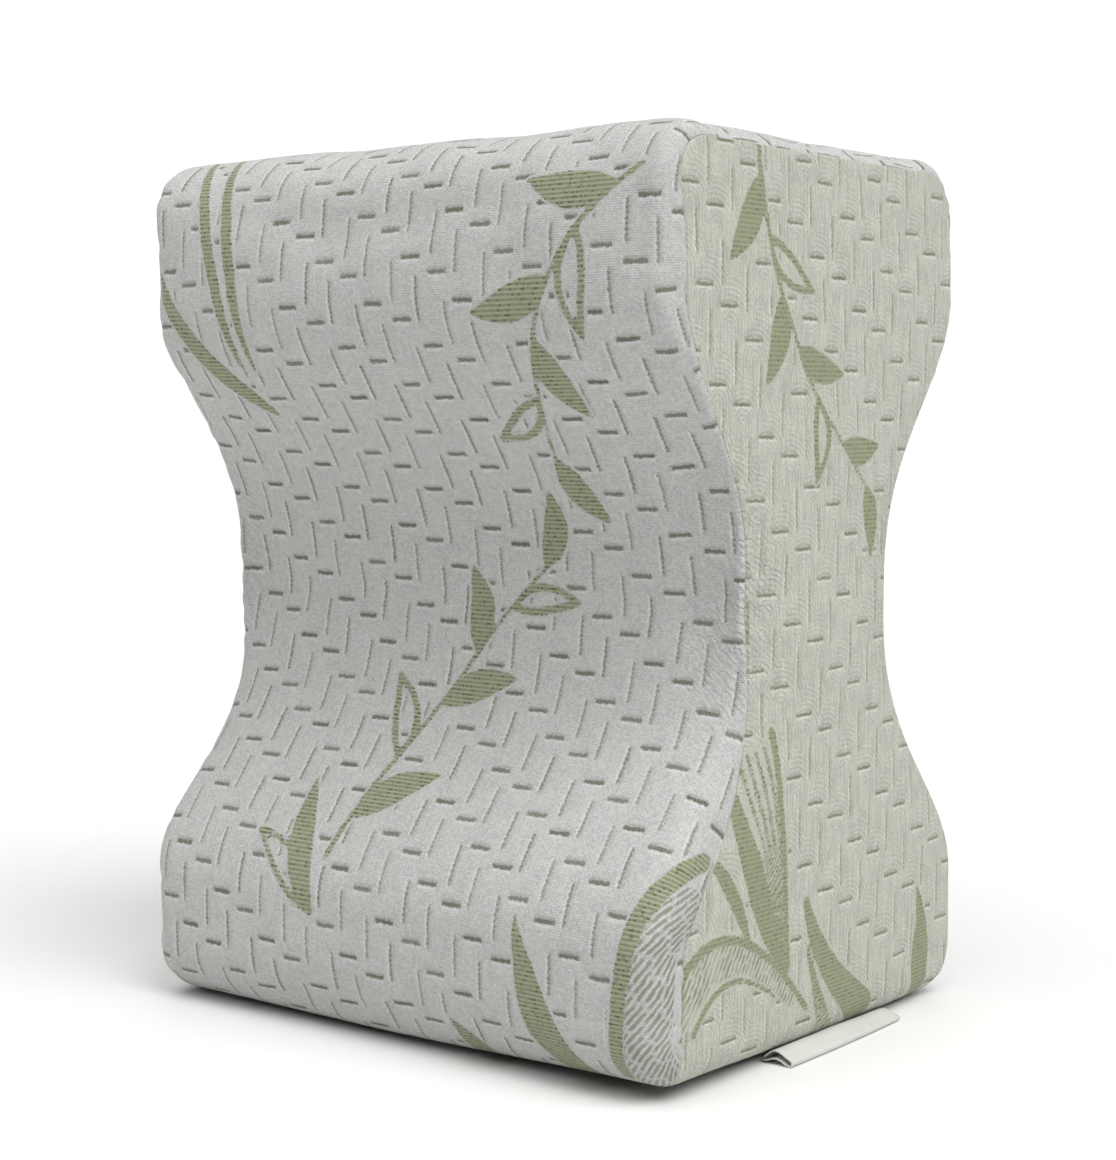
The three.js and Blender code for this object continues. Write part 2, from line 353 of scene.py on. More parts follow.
class Nodes:
    """The nodes of a material or world. Most calls add one node and give its output."""

    def __init__(self, owner, shader="Principled BSDF"):
        owner.use_nodes = True
        self.tree = owner.node_tree
        self.shader = self.tree.nodes[shader]

    def add(self, kind, inputs, **settings):
        node = self.tree.nodes.new(kind)
        for name, value in settings.items():
            setattr(node, name, value)
        for place, value in inputs.items():
            self.feed(node.inputs[place], value)
        return node

    def feed(self, socket, value):
        if isinstance(value, bpy.types.NodeSocket):
            self.tree.links.new(value, socket)
        else:
            socket.default_value = value

    def stored(self, name, output="Fac"):
        """A number stored on the mesh, or a place with the output Vector."""
        return self.add("ShaderNodeAttribute", {}, attribute_name=name).outputs[output]

    def math(self, operation, *values):
        inputs = dict(enumerate(values))
        return self.add("ShaderNodeMath", inputs, operation=operation).outputs[0]

    def vector(self, operation, *values):
        node = self.add("ShaderNodeVectorMath", dict(enumerate(values)), operation=operation)
        scalar = operation in ("DOT_PRODUCT", "LENGTH")
        return node.outputs["Value" if scalar else "Vector"]

    def scaled(self, vector, factor):
        inputs = {"Vector": vector, "Scale": factor}
        return self.add("ShaderNodeVectorMath", inputs, operation="SCALE").outputs["Vector"]

    def parts(self, vector):
        return self.add("ShaderNodeSeparateXYZ", {0: vector}).outputs

    def ease(self, value, low, high, out_low=0.0, out_high=1.0):
        """out_low up to low, out_high past high, and a smooth step between them."""
        inputs = {0: value, 1: low, 2: high, 3: out_low, 4: out_high}
        settings = {"interpolation_type": "SMOOTHSTEP", "clamp": True}
        return self.add("ShaderNodeMapRange", inputs, **settings).outputs[0]

    def wave(self, value, pitch):
        """A sine from -1 to 1 that repeats every pitch."""
        return self.math("SINE", self.math("MULTIPLY", value, 2 * math.pi / pitch))

    def noise(self, place, scale, detail):
        inputs = {"Vector": place, "Scale": scale, "Detail": detail}
        return self.add("ShaderNodeTexNoise", inputs).outputs[0]

    def mix(self, share, first, second):
        inputs = {0: share, 6: first, 7: second}
        return self.add("ShaderNodeMix", inputs, data_type="RGBA").outputs[2]

    def chain(self, operation, values):
        total = values[0]
        for value in values[1:]:
            total = self.math(operation, total, value)
        return total

    def total(self, *values):
        return self.chain("ADD", values)

    def product(self, *values):
        return self.chain("MULTIPLY", values)

    def linear(self, value, factor, plus):
        return self.math("MULTIPLY_ADD", value, factor, plus)

    def bump(self, height):
        """Turns a height in millimetres into a normal."""
        node = self.add("ShaderNodeBump", {"Height": height, "Distance": MM, "Strength": 1.0})
        return node.outputs["Normal"]

    def shade(self, base, roughness, normal=None, sheen=0.0):
        self.feed(self.shader.inputs["Base Color"], base)
        self.feed(self.shader.inputs["Roughness"], roughness)
        self.shader.inputs["Sheen Weight"].default_value = sheen
        self.shader.inputs["Sheen Roughness"].default_value = SHEEN_ROUGHNESS
        self.shader.inputs["Specular IOR Level"].default_value = SPECULAR
        if normal is not None:
            self.feed(self.shader.inputs["Normal"], normal)


# The hourglass outline and its rolled rims


def smoothstep(share):
    return share * share * (3 - 2 * share)


def ramp(value, start, over):
    """A smooth rise from 0 at start to 1 so much further on."""
    return smoothstep(np.clip((value - start) / over, 0, 1))


def bell(value, middle, width):
    return np.exp(-(((value - middle) / width) ** 2))


def eased(rim, z, column):
    """One column of a rim at these heights, eased between its rows."""
    heights = np.array([row["z"] for row in rim], float)
    values = np.array([row[column] for row in rim], float)
    above = np.clip(np.searchsorted(heights, z), 1, len(rim) - 1)
    low = heights[above - 1]
    share = smoothstep((np.clip(z, 0, HEIGHT) - low) / (heights[above] - low))
    return values[above - 1] + (values[above] - values[above - 1]) * share


def corner_cut(from_end, radius):
    """How much a round of this radius takes off a face, so far in from its end."""
    inside = np.clip(radius - from_end, 0, None)
    return radius - np.sqrt(np.clip(radius**2 - inside**2, 0, None))


def hollow_share(z):
    reach = np.clip(np.abs(z - WAIST_HEIGHT) / HOLLOW_REACH, 0, 1)
    return (1 + np.cos(np.pi * reach**HOLLOW_EASE)) / 2


def half_depth(z, waist):
    bulge = np.where(z > WAIST_HEIGHT, TOP_DEPTH, BASE_DEPTH) / 2
    face = bulge + (waist - bulge) * hollow_share(z)
    return face - corner_cut(z, BASE_CORNER) - corner_cut(HEIGHT - z, TOP_CORNER)


class Outline:
    """The closed outline: up the front, over the top, down the back and under the base."""

    def __init__(self, steps):
        bend = 1 - np.cos(np.linspace(0, np.pi / 2, steps["corner"], endpoint=False))
        flank = np.linspace(BASE_CORNER, HEIGHT - TOP_CORNER, steps["flank"] + 1)
        rows = np.concatenate([BASE_CORNER * bend, flank, HEIGHT - TOP_CORNER * bend[::-1]])
        front = -half_depth(rows, FRONT_WAIST)
        back = half_depth(rows, BACK_WAIST)
        shares = np.linspace(0, 1, steps["across"] + 1)[1:-1]
        top = front[-1] + (back[-1] - front[-1]) * shares
        base = back[0] + (front[0] - back[0]) * shares
        self.top_row = len(rows) - 1
        self.across = steps["across"]
        self.y = np.concatenate([front, top, back[::-1], base])
        self.z = np.concatenate([rows, np.full(len(top), HEIGHT), rows[::-1], np.zeros(len(base))])
        self.size = len(self.y)
        step_y = np.roll(self.y, -1) - self.y
        step_z = np.roll(self.z, -1) - self.z
        length = np.hypot(step_y, step_z)
        along_y = step_y / length + np.roll(step_y / length, 1)
        along_z = step_z / length + np.roll(step_z / length, 1)
        turned = np.hypot(along_y, along_z)
        self.normal_y = -along_z / turned
        self.normal_z = along_y / turned
        self.arc = np.concatenate([[0], np.cumsum(length)[:-1]])
        self.loop = float(length.sum())
        self.share = self.arc / self.loop
        under = self.arc > self.loop + front[0]
        self.arc[under] -= self.loop
        self.roll, self.seam = [
            np.where(
                self.y > 0, eased(BACK_RIM, self.z, column), eased(FRONT_RIM, self.z, column)
            )
            for column in ("roll", "seam")
        ]
        lean = np.clip(1 - self.seam / self.roll, 0, 1)
        self.turn = np.where(self.seam < self.roll, np.arccos(lean), np.pi / 2)

    def ring(self, x, inset):
        """Points of the outline at x, drawn in by inset."""
        y = self.y - self.normal_y * inset
        z = self.z - self.normal_z * inset
        return np.stack(np.broadcast_arrays(x, y, z), axis=-1)

    def normals(self, lean):
        """Normals of the rim where it has turned so far from the band towards the side."""
        level = np.cos(lean)
        return np.stack([np.sin(lean), level * self.normal_y, level * self.normal_z], axis=-1)

    def place_in_ring(self, row, column):
        if column == 0:
            return row
        if row == self.top_row:
            return self.top_row + column
        if column == self.across:
            return 2 * self.top_row + self.across - row
        return self.size - column


# Patterns of the knit, as numbers over the cover's own coordinates


def from_nearest_copy(place, centre, steps):
    """Places less the nearest copy of a centre that repeats by two steps."""
    cell = np.array(steps).T
    moved = place - np.array(centre)
    return moved - np.round(moved @ np.linalg.inv(cell).T) @ cell.T


def marks(place, repeat):
    """How deep in a stitch mark each place lies, 0 to 1, softened to suit the mesh."""
    depth = np.zeros(len(place))
    origin = np.array(repeat["origin"])
    for kind, weight in MARK_DEPTHS.items():
        half = np.array(repeat[kind + "_size"]) / 2
        for centre in repeat[kind + "s"]:
            near = np.abs(from_nearest_copy(place, origin + np.array(centre), repeat["steps"]))
            outside = np.clip(near - half, 0, None)
            shape = np.exp(-((outside / MARK_SOFTNESS) ** 2).sum(axis=1))
            depth = np.maximum(depth, weight * shape)
    return depth


def soft_noise(place, seed, longest, shortest, waves=24):
    """A smooth uneven field of about -1 to 1, from seeded waves."""
    random = np.random.default_rng(seed)
    total = np.zeros(len(place))
    for _ in range(waves):
        angle = random.uniform(0, 2 * np.pi)
        pitch = random.uniform(shortest, longest)
        phase = random.uniform(0, 2 * np.pi)
        along = place @ np.array([np.cos(angle), np.sin(angle)])
        total += np.sin(2 * np.pi * along / pitch + phase)
    return total / math.sqrt(waves)


# Leaves


def turned(direction, degrees):
    angle = math.radians(degrees)
    x, y = direction
    cosine, sine = math.cos(angle), math.sin(angle)
    return np.array([x * cosine - y * sine, x * sine + y * cosine])


def leaf_depth(place, base, tip, width, bend):
    """How far inside a leaf each place lies. It is below 0 outside."""
    base, tip = np.array(base, float), np.array(tip, float)
    length = np.linalg.norm(tip - base)
    along = (tip - base) / length
    across = np.array([-along[1], along[0]])
    share = (place - base) @ along / length
    inside = np.clip(share, 0, 1)
    middle = bend * 4 * inside * (1 - inside)
    half = width / 2 * np.sin(np.pi * inside**LEAF_BELLY) ** LEAF_FULLNESS
    beyond = np.abs(share - inside) * length
    return half - np.abs((place - base) @ across - middle) - beyond


def hollow(depth, half_line):
    """The outline alone of a leaf of this depth."""
    return half_line - np.abs(depth - half_line)


def curve(start, pull, end, share):
    """A point of the curve from start to end that bends towards pull."""
    return start * (1 - share) ** 2 + 2 * pull * share * (1 - share) + end * share**2


def stroke_depth(place, start, pull, end, width, end_width, pieces=14):
    """How far inside a curved stroke each place lies. It is below 0 outside."""
    start, pull, end = (np.array(point, float) for point in (start, pull, end))
    line = curve(start, pull, end, np.linspace(0, 1, pieces + 1)[:, None])
    depth = np.full(len(place), FAR_OUTSIDE)
    for number in range(pieces):
        first, step = line[number], line[number + 1] - line[number]
        along = np.clip((place - first) @ step / (step @ step), 0, 1)
        away = np.linalg.norm(place - first - along[:, None] * step, axis=1)
        half = (width + (end_width - width) * (number + along) / pieces) / 2
        depth = np.maximum(depth, half - away)
    return depth


def sprig_depth(place, start, pull, end, leaves, length, width):
    """How far inside a curved stem with leaves left and right in turn. Some leaves are hollow."""
    start, pull, end = (np.array(point, float) for point in (start, pull, end))
    depth = stroke_depth(place, start, pull, end, *SPRIG["stem"])
    for number in range(leaves):
        share = (number + SPRIG["first"]) / leaves
        root = curve(start, pull, end, share)
        heading = (pull - start) * (1 - share) + (end - pull) * share
        heading = heading / np.linalg.norm(heading)
        side = 1 if number % 2 else -1
        reach = length * (1 - SPRIG["shorter"] * share)
        tip = root + turned(heading, side * SPRIG["turn"]) * reach
        broad = width * (1 - SPRIG["narrower"] * share)
        leaf = leaf_depth(place, root, tip, broad, bend=-side * SPRIG["bend"])
        if number % 3 == 1:
            leaf = hollow(leaf, HOLLOW_LINE["sprig"])
        depth = np.maximum(depth, leaf)
    return depth


def draw_leaves(place, drawing):
    """How far inside the green leaves, and inside the hatched ones, each place lies."""
    solid = np.full(len(place), FAR_OUTSIDE)
    for leaf in drawing["plain"]:
        solid = np.maximum(solid, leaf_depth(place, *leaf))
    for leaf in drawing["hollow"]:
        solid = np.maximum(solid, hollow(leaf_depth(place, *leaf), HOLLOW_LINE["leaf"]))
    for stroke in drawing["strokes"]:
        solid = np.maximum(solid, stroke_depth(place, *stroke))
    for fan in drawing["fans"]:
        for number in range(fan["strokes"]):
            points = np.array(fan["first"]) + number * np.array(fan["steps"])
            solid = np.maximum(solid, stroke_depth(place, *points, *fan["widths"]))
    for sprig in drawing["sprigs"]:
        solid = np.maximum(solid, sprig_depth(place, *sprig))
    return solid, stroke_depth(place, *drawing["hatched"])


# Meshes


def lift_foot(points):
    """Raises the edge of the base a little, most at the corner nearest the camera."""
    x = points[..., 0] / (WIDTH / 2)
    y = points[..., 1] / (BASE_DEPTH / 2)
    out = np.maximum(np.abs(x), np.abs(y))
    edge = EDGE_LIFT["height"] * ramp(out, EDGE_LIFT["from"], EDGE_LIFT["over"])
    corner = ramp((x - y) / 2, CORNER_LIFT["from"], CORNER_LIFT["over"])
    fade = smoothstep(np.clip(1 - points[..., 2] / LIFT_FADE, 0, 1))
    lifted = points.copy()
    lifted[..., 2] += fade * (edge + CORNER_LIFT["height"] * corner)
    return lifted


def build_mesh(name, points, quads, triangles=None):
    """A smooth mesh object from points in millimetres and arrays of corners."""
    triangles = np.zeros((0, 3), int) if triangles is None else triangles
    corners = np.concatenate([quads.ravel(), triangles.ravel()])
    counts = np.concatenate([np.full(len(quads), 4), np.full(len(triangles), 3)])
    starts = np.concatenate([[0], np.cumsum(counts)[:-1]])
    mesh = bpy.data.meshes.new(name)
    mesh.vertices.add(len(points))
    mesh.vertices.foreach_set("co", (points * MM).astype(np.float32).ravel())
    mesh.loops.add(len(corners))
    mesh.loops.foreach_set("vertex_index", corners.astype(np.int32))
    mesh.polygons.add(len(counts))
    mesh.polygons.foreach_set("loop_start", starts.astype(np.int32))
    mesh.polygons.foreach_set("use_smooth", np.ones(len(counts), bool))
    mesh.update(calc_edges=True)
    mesh.validate()
    return add_object(name, mesh)


def store_number(piece, name, values):
    layer = piece.data.attributes.new(name, "FLOAT", "POINT")
    layer.data.foreach_set("value", values.astype(np.float32))


def store_place(piece, name, values, loop=None):
    """Stores u and v at each corner. Across the join of a loop, v goes on rising."""
    corner = np.zeros(len(piece.data.loops), np.int32)
    piece.data.loops.foreach_get("vertex_index", corner)
    spread = np.zeros((len(corner), 3), np.float32)
    spread[:, :2] = values[corner]
    if loop is not None:
        starts = np.zeros(len(piece.data.polygons), np.int32)
        counts = np.zeros(len(piece.data.polygons), np.int32)
        piece.data.polygons.foreach_get("loop_start", starts)
        piece.data.polygons.foreach_get("loop_total", counts)
        highest = np.maximum.reduceat(spread[:, 1], starts)
        across = (np.repeat(highest, counts) - spread[:, 1]) > loop / 2
        spread[across, 1] += loop
    layer = piece.data.attributes.new(name, "FLOAT_VECTOR", "CORNER")
    layer.data.foreach_set("vector", spread.ravel())


def store_leaves(piece, solid, hatched):
    """Stores how far inside the leaves each point lies. Points past the last have none."""
    extra = np.full(len(piece.data.vertices) - len(solid), -LEAF_RANGE)
    for name, depth in (("leaf", solid), ("hatch", hatched)):
        depth = np.clip(depth, -LEAF_RANGE, LEAF_RANGE)
        store_number(piece, name, np.concatenate([depth, extra]))


def sheet_faces(rows, columns):
    """Faces of a sheet of two layers, each a grid of rows and columns, and of its edge."""
    number = np.arange(rows * columns).reshape(rows, columns)
    corners = [number[:-1, :-1], number[:-1, 1:], number[1:, 1:], number[1:, :-1]]
    face = np.stack(corners, axis=-1).reshape(-1, 4)
    ring = [number[:, 0], number[-1, 1:], number[-2::-1, -1], number[0, -2:0:-1]]
    ring = np.concatenate(ring)
    after = np.roll(ring, -1)
    behind = number.size
    belt = np.stack([ring, after, after + behind, ring + behind], axis=-1)
    return np.concatenate([face, face[:, ::-1] + behind, belt])


def crown(y, z, front, back, low, high):
    """Share of the full crown on a side face, between its edges."""
    up = np.sin(np.pi * np.clip((z - low) / (high - low), 0, 1)) ** SIDE_CROWN_BENDS["up"]
    over = np.sin(np.pi * np.clip((y - front) / (back - front), 0, 1)) ** SIDE_CROWN_BENDS["over"]
    return up * over


def seam_gathers(arc, away):
    """Small gathers along a seam, less the further away from it."""
    along = np.stack([arc, np.zeros_like(arc)], axis=-1)
    drift = soft_noise(along, GATHERS["seed"], *GATHERS["drift"])
    gather = 0.5 + 0.5 * np.sin(2 * np.pi * arc / GATHERS["pitch"] + GATHERS["sway"] * drift)
    even = GATHERS["even"]
    return gather * (even + (1 - even) * drift) * np.exp(-((away / GATHERS["reach"]) ** 2))


def seam_dip(away, z):
    """How deep the band dips beside its seam from the waist up, less the ridge at the seam."""
    share = ramp(z, SEAM_RELIEF["from"], SEAM_RELIEF["over"])
    share = share * ramp(SEAM_RELIEF["top"] - z, 0, SEAM_RELIEF["fade"])
    dip, ridge = [
        form["height"] * bell(away, form["middle"], form["width"])
        for form in (SEAM_RELIEF["dip"], SEAM_RELIEF["ridge"])
    ]
    return (dip - ridge) * share


def seam_pull(away, z, pull):
    """How much a seam pulls the cloth into ripples."""
    beside = bell(away, pull["away"], pull["reach"])
    return beside * bell(z, WAIST_HEIGHT + pull["above"], pull["spread"])


def cover_relief(cloth, arc, away, drawn, repeat, relief):
    """How deep the cover lies: stitch marks clear of what is drawn, dents and gathers."""
    clear = 1 - ramp(drawn, LEAF_MARGIN["from"], LEAF_MARGIN["over"])
    pressed = relief["marks"] * marks(cloth, repeat) * clear
    dents = relief["uneven"] * soft_noise(cloth, relief["seed"], *relief["pitches"])
    return pressed - dents + relief["gathers"] * seam_gathers(arc, away)


def band_columns(shape, mesh):
    """The band's columns from one sunk seam over both rims and the face to the other seam.

    Each has x, inset, u, lean, the distance from its seam, and its place from 0 to 10.
    """
    flat = WIDTH / 2 - shape.roll
    past = np.clip(shape.seam - shape.roll, 0, None)
    at_seam = WIDTH / 2 - corner_cut(shape.seam, shape.roll)
    way = shape.roll * shape.turn + past
    none = np.zeros(shape.size)
    rim = []
    for number, depth in enumerate((FOAM_BELOW, SEAM_WALL, 0)):
        depth = SEAM_SINK + depth
        place = none + 0.1 * number
        rim.append((at_seam - depth, shape.seam, flat + way + depth, shape.turn, none, place))
    for share in np.linspace(0, 1, mesh["roll"], endpoint=False):
        away = way * share
        level = np.minimum(away, past)
        angle = shape.turn - (away - level) / shape.roll
        x = flat + shape.roll * np.sin(angle)
        inset = shape.roll * (1 - np.cos(angle)) + past - level
        rim.append((x, inset, flat + way - away, angle, away, none + 0.3 + 0.7 * share))
    face = []
    for share in np.linspace(-1, 1, mesh["face"]):
        away = flat * (1 - abs(share)) + way
        face.append((flat * share, none, flat * share, none, away, none + 5 + 4 * share))
    left = [(-x, inset, -u, -lean, away, place) for x, inset, u, lean, away, place in rim]
    right = [(*column[:-1], 10 - column[-1]) for column in reversed(rim)]
    return np.array([*left, *face, *right]).transpose(1, 0, 2)


def band_faces(columns, count):
    belt = np.arange(count)
    after = (belt + 1) % count
    start = np.arange(columns - 1)[:, None] * count
    corners = [start + belt, start + count + belt, start + count + after, start + after]
    return np.stack(corners, axis=-1).reshape(-1, 4)


def settle(fine, place):
    """How far out the cover settles at each point of the fine band, by a cloth simulation.

    The cloth is held at its seams and its base, and the foam pushes it out between them.
    """
    shape = Outline(SKIN_MESH)
    x, inset, _, lean, away, coarse_place = band_columns(shape, SKIN_MESH)
    start = shape.ring(x, inset)
    points, caps, fans = add_caps(start.reshape(-1, 3), shape, (len(x) - 1) * shape.size)
    quads = np.concatenate([band_faces(len(x), shape.size), caps])
    skin = build_mesh("skin", points, quads, fans)
    held = np.ones(len(points), bool)
    held[: x.size] = ((away < SKIN_HELD["seam"]) | (shape.z < SKIN_HELD["base"])).ravel()
    group = skin.vertex_groups.new(name="held")
    group.add(np.flatnonzero(held).tolist(), 1.0, "REPLACE")
    press = skin.modifiers.new("press", "CLOTH")
    press.settings.vertex_group_mass = "held"
    press.settings.use_pressure = True
    press.settings.uniform_pressure_force = SKIN["pressure"]
    press.settings.shrink_min = SKIN["shrink"]
    press.settings.effector_weights.gravity = 0.0
    press.collision_settings.use_collision = False
    press.point_cache.frame_end = SKIN["frames"]
    for frame in range(1, SKIN["frames"] + 1):
        bpy.context.scene.frame_set(frame)
    blown = skin.evaluated_get(bpy.context.evaluated_depsgraph_get()).data
    moved = np.zeros(len(points) * 3, np.float32)
    blown.vertices.foreach_get("co", moved)
    moved = moved.reshape(-1, 3)[: x.size].reshape(start.shape) / MM - start
    rise = (moved * shape.normals(lean)).sum(axis=-1)
    rise = SKIN["reach"] * np.tanh(rise / SKIN["reach"])
    bpy.data.objects.remove(skin)
    bpy.context.scene.frame_set(1)
    rise = [np.interp(fine.share, shape.share, column, period=1.0) for column in rise]
    rise = np.array(rise).T
    rise = np.array([np.interp(place, coarse_place[:, 0], row) for row in rise]).T
    for _ in range(SKIN["smooth"]):
        beside = np.pad(rise, ((1, 1), (0, 0)), mode="edge")
        rise = (2 * rise + beside[:-2] + beside[2:]) / 4
        rise = (2 * rise + np.roll(rise, 1, axis=1) + np.roll(rise, -1, axis=1)) / 4
    return rise


def make_band():
    """The band round the foam, from one sunk seam over both rims and faces to the other."""
    shape = Outline(BAND_MESH)
    x, inset, u, lean, away, place = band_columns(shape, BAND_MESH)
    rise = settle(shape, place[:, 0])
    arc = np.broadcast_to(shape.arc, u.shape)
    cloth = np.stack([u, arc], axis=-1).reshape(-1, 2)
    solid, hatched = draw_leaves(cloth, BAND_LEAVES)
    second = draw_leaves(cloth - np.array(BACK_SHIFT), BAND_LEAVES)
    solid, hatched = np.maximum(solid, second[0]), np.maximum(hatched, second[1])
    drawn = np.maximum(solid, hatched)
    dips = cover_relief(cloth, arc.ravel(), away.ravel(), drawn, BAND_REPEAT, BAND_RELIEF)
    dips = dips.reshape(u.shape) + seam_dip(away, shape.z)
    out = (rise - dips) * ramp(shape.z, 0, FOOT_FADE)
    points = lift_foot(shape.ring(x, inset) + shape.normals(lean) * out[..., None])
    points, caps, fans = add_caps(points.reshape(-1, 3), shape, (len(x) - 1) * shape.size)
    quads = np.concatenate([band_faces(len(x), shape.size), caps])
    piece = build_mesh("cover_band", points, quads, fans)
    extra = len(points) - len(cloth)
    store_place(piece, "cloth", np.concatenate([cloth, np.zeros((extra, 2))]), shape.loop)
    store_leaves(piece, solid, hatched)
    pull = seam_pull(away, shape.z, BAND_PULL)
    store_number(piece, "pull", np.concatenate([pull.ravel(), np.zeros(extra)]))
    return piece


def add_caps(points, shape, last_ring):
    """Closes both ends of the band with the crowned ends of the foam, under the panels."""
    count = shape.size
    belt = np.arange(count)
    after = (belt + 1) % count
    quads, fans = [], []
    for side, ring_start in ((-1, 0), (1, last_ring)):
        ring = points[ring_start : ring_start + count]
        middle = np.array([side * (WIDTH / 2 - SEAM_SINK - FOAM_BELOW), 0, WAIST_HEIGHT])
        before = ring_start
        for number in range(1, CAP_RINGS + 1):
            share = 1 - number / (CAP_RINGS + 1)
            inner = middle + (ring - middle) * share
            flat = middle[0] + (ring[:, 0] - middle[0]) * share**3
            inner[:, 0] = flat + side * SIDE_CROWN * CAP_CROWN * (1 - share**2) ** 0.5
            start = len(points)
            points = np.concatenate([points, inner])
            corners = [before + belt, start + belt, start + after, before + after]
            quads.append(np.stack(corners if side > 0 else corners[::-1], axis=-1))
            before = start
        centre = len(points)
        point = middle + np.array([side * SIDE_CROWN * CAP_CROWN, 0, 0])
        points = np.concatenate([points, point[None]])
        corners = [before + belt, np.full(count, centre), before + after]
        fans.append(np.stack(corners if side > 0 else corners[::-1], axis=-1))
    return points, np.concatenate(quads), np.concatenate(fans)


def panel_grid(shape):
    """The right panel's points in rows from front to back, and how far each is from its seam."""
    rows, columns = shape.top_row + 1, shape.across + 1
    at_edge = np.array(
        [[shape.place_in_ring(row, column) for column in range(columns)] for row in range(rows)]
    )
    inset = shape.seam + SEAM_GAP
    edge_x = WIDTH / 2 - corner_cut(inset, shape.roll) - SEAM_SINK
    edge = shape.ring(edge_x, inset)
    front = edge[at_edge[:, :1]]
    back = edge[at_edge[:, -1:]]
    grid = front + (back - front) * np.linspace(0, 1, columns)[None, :, None]
    y, z = grid[..., 1], grid[..., 2]
    low, high = front[0, 0, 2], front[-1, 0, 2]
    lift = SIDE_CROWN * crown(y, z, front[..., 1], back[..., 1], low, high)
    grid[..., 0] = WIDTH / 2 - SEAM_SINK - corner_cut(z, FRONT_RIM[0]["roll"]) + lift
    border = np.zeros((rows, columns), bool)
    border[[0, -1], :] = True
    border[:, [0, -1]] = True
    grid[border] = edge[at_edge[border]]
    level = np.minimum(y - front[..., 1], back[..., 1] - y)
    return grid, np.minimum(level, np.minimum(high - z, z - low))


def make_panel(name, side):
    """A side panel of the cover: a sheet stretched over the foam's crowned end."""
    grid, away = panel_grid(Outline(PANEL_MESH))
    cloth = grid[..., 1:].reshape(-1, 2).copy()
    if side < 0:
        cloth[:, 0] *= -1
        cloth += np.array(LEFT_SHIFT)
    solid, hatched = draw_leaves(cloth, PANEL_LEAVES)
    drawn = np.maximum(solid, hatched)
    arc = (grid[..., 2] * np.sign(grid[..., 1]) + BACK_ARC).ravel()
    depth = cover_relief(cloth, arc, away.ravel(), drawn, PANEL_REPEAT, PANEL_RELIEF)
    outer = grid.copy()
    outer[..., 0] -= depth.reshape(away.shape) * ramp(away, 0, EDGE_FADE)
    outer = lift_foot(outer)
    inner = outer.copy()
    inner[..., 0] -= PANEL_THICK
    points = np.concatenate([outer.reshape(-1, 3), inner.reshape(-1, 3)])
    points[:, 0] *= side
    quads = sheet_faces(*away.shape)
    if side < 0:
        quads = quads[:, ::-1]
    piece = build_mesh(name, points, quads)
    store_place(piece, "cloth", np.tile(cloth, (2, 1)))
    store_leaves(piece, np.tile(solid, 2), np.tile(hatched, 2))
    pull = seam_pull(away, grid[..., 2], PANEL_PULL)
    store_number(piece, "pull", np.tile(pull.ravel(), 2))
    return piece


def label_section():
    """The label's section from the seam round its fold, and which of its points lie above."""
    fold_x, fold_z = LABEL_FOLD["middle"]
    radius = LABEL_FOLD["radius"]
    bends = np.radians(np.linspace(LABEL_FOLD["from"], LABEL_FOLD["to"], LABEL_FOLD["points"]))
    fold = [(fold_x + radius * math.cos(bend), fold_z + radius * math.sin(bend)) for bend in bends]
    section = np.array([*LABEL_UNDER, *fold, *LABEL_OVER])
    above = np.arange(len(section)) > len(LABEL_UNDER) + len(fold) / 2
    return section, above.astype(float)


def make_label():
    """A satin strip folded outwards and sewn into the foot of the right side seam."""
    section, above = label_section()
    step = np.gradient(section, axis=0)
    normal = np.stack([step[:, 1], -step[:, 0]], axis=-1)
    normal /= np.linalg.norm(normal, axis=1)[:, None]
    rows, count = LABEL["rows"], len(section)
    share = np.linspace(-1, 1, rows)[:, None]
    y = np.broadcast_to(LABEL["middle_y"] + share * LABEL["length"] / 2, (rows, count))
    gape = LABEL_DRAPE["gape"] * ramp(-share, 0.2, 0.8)
    gape = gape - LABEL_DRAPE["press"] * np.clip(share, 0, 1)
    bow = LABEL_DRAPE["bow"] * (1 - share**2) - LABEL_DRAPE["short"]
    wave = LABEL_DRAPE["wave"] * np.sin(LABEL_DRAPE["waves"] * share)
    reach = (section[:, 0] - section[0, 0]) / LABEL["reach"]
    layers = []
    for half in (-LABEL["thick"] / 2, LABEL["thick"] / 2):
        line = section + normal * half
        x = line[:, 0] + bow * reach
        z = line[:, 1] * (1 + gape * above) + wave * above * reach
        layers.append(np.stack([x, y, np.maximum(z, LABEL_FLOOR)], axis=-1).reshape(-1, 3))
    points = np.concatenate(layers)
    piece = build_mesh("label_sheet", points, sheet_faces(rows, count)[:, ::-1])
    along = np.concatenate([[0], np.cumsum(np.linalg.norm(np.diff(section, axis=0), axis=1))])
    cloth = np.stack([np.broadcast_to(along, y.shape), y], axis=-1).reshape(-1, 2)
    store_place(piece, "cloth", np.tile(cloth, (2, 1)))
    return piece


# Materials

SHEEN_ROUGHNESS = 0.5
SPECULAR = 0.25

# Pitches of the knit and the satin in millimetres, stitches in each millimetre across and up,
# and how finely the noises vary
COURSE_PITCH = 0.62
SLANT_PITCH = 0.8
RIB_PITCH = 1.35
RIPPLE_PITCH = 2.3
ROW_PITCH = 1.25
WEFT_PITCH = 0.32
WARP_PITCH = 0.5
STITCHES = (1.35, 1.6, 0.0)
NOISE = {"wobble": 0.35, "grain": 1.6, "wander": 1.1, "patches": 0.16, "upright": 0.9}

# How far a stitch mark's outline wanders, and how far below a bar the middle of its arches lies
MARK_WANDER = (1.4, 1.0, 0.0)
ARCH_DROP = 5.0
